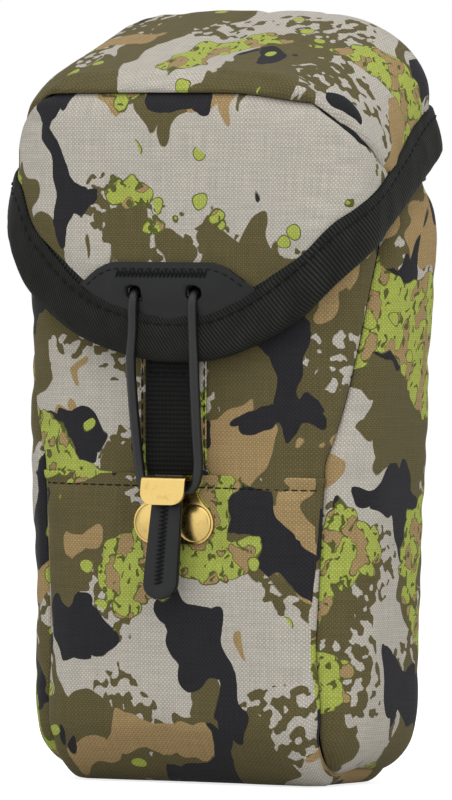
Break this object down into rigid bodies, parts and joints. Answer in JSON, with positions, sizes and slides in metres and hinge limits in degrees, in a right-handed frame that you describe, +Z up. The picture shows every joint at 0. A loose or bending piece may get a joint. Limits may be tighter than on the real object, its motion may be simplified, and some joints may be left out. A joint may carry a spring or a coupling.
{
  "type": "laser rangefinder pouch",
  "caption": "Padded camouflage field pouch for a handheld laser rangefinder, with a taped hood lid held shut by an elastic cord, a leather pull tab and a folded brass hook.",
  "frame": {"origin": "on the ground under the middle of the pouch as it stands", "axes": "+Z up from the base to the top of the lid, +Y from the front with the hook towards the back with the belt loop, +X across the width"},
  "size_m": [0.1024, 0.0752, 0.191],
  "materials": {
    "camouflage_cloth": "plain-woven nylon printed with a camouflage of greys, olives, black and yellow-green",
    "black_tape": "ribbed black binding tape",
    "foam_padding": "closed-cell foam padding, hidden between the cloths",
    "inner_cloth": "smooth black lining cloth",
    "webbing": "ribbed black webbing",
    "leather": "black leather with a matt grain",
    "brass": "polished, with fine handling marks",
    "elastic_cord": "black braided cover over a rubber core"
  },
  "bodies": {
    "pouch": {"left_gusset": "camouflage_cloth", "right_gusset": "camouflage_cloth", "front_panel": "camouflage_cloth", "back_panel": "camouflage_cloth", "left_foam": "foam_padding", "right_foam": "foam_padding", "front_foam": "foam_padding", "back_foam": "foam_padding", "base_foam": "foam_padding", "body_lining": "inner_cloth", "mouth_binding": "black_tape", "front_pocket_panel": "camouflage_cloth", "strap_backing": "camouflage_cloth", "closure_strap": "webbing", "hinge_tape": "black_tape", "hook_plate": "brass", "rivet_left": "brass", "rivet_washer_left": "brass", "rivet_right": "brass", "rivet_washer_right": "brass", "belt_loop_patch": "camouflage_cloth", "belt_loop": "webbing"},
    "lid": {"lid_flap": "camouflage_cloth", "lid_top": "camouflage_cloth", "lid_foam": "foam_padding", "lid_lining": "inner_cloth", "lid_binding": "black_tape", "cord_patch": "leather", "cord_knot_left": "elastic_cord", "cord_knot_right": "elastic_cord"},
    "loop": {"elastic_cord": "elastic_cord"},
    "tab": {"pull_tab": "leather"}
  },
  "joints": [
    {"name": "lid_hinge", "type": "hinge", "parent": "pouch", "child": "lid", "pos_m": [0, 0.03135, 0.1596], "axis": [-1, 0, 0], "range_deg": [0, 120]},
    {"name": "loop_swing", "type": "hinge", "parent": "lid", "child": "loop", "pos_m": [0, -0.03445, 0.121], "axis": [-1, 0, 0], "range_deg": [0, 60], "deforming": ["elastic_cord"]},
    {"name": "tab_pull", "type": "slide", "parent": "loop", "child": "tab", "axis": [0, -0.1564, -0.9877], "range_m": [0, 0.007], "stiffness_N_per_m": 150, "springref_m": -0.005, "deforming": ["elastic_cord"]}
  ]
}
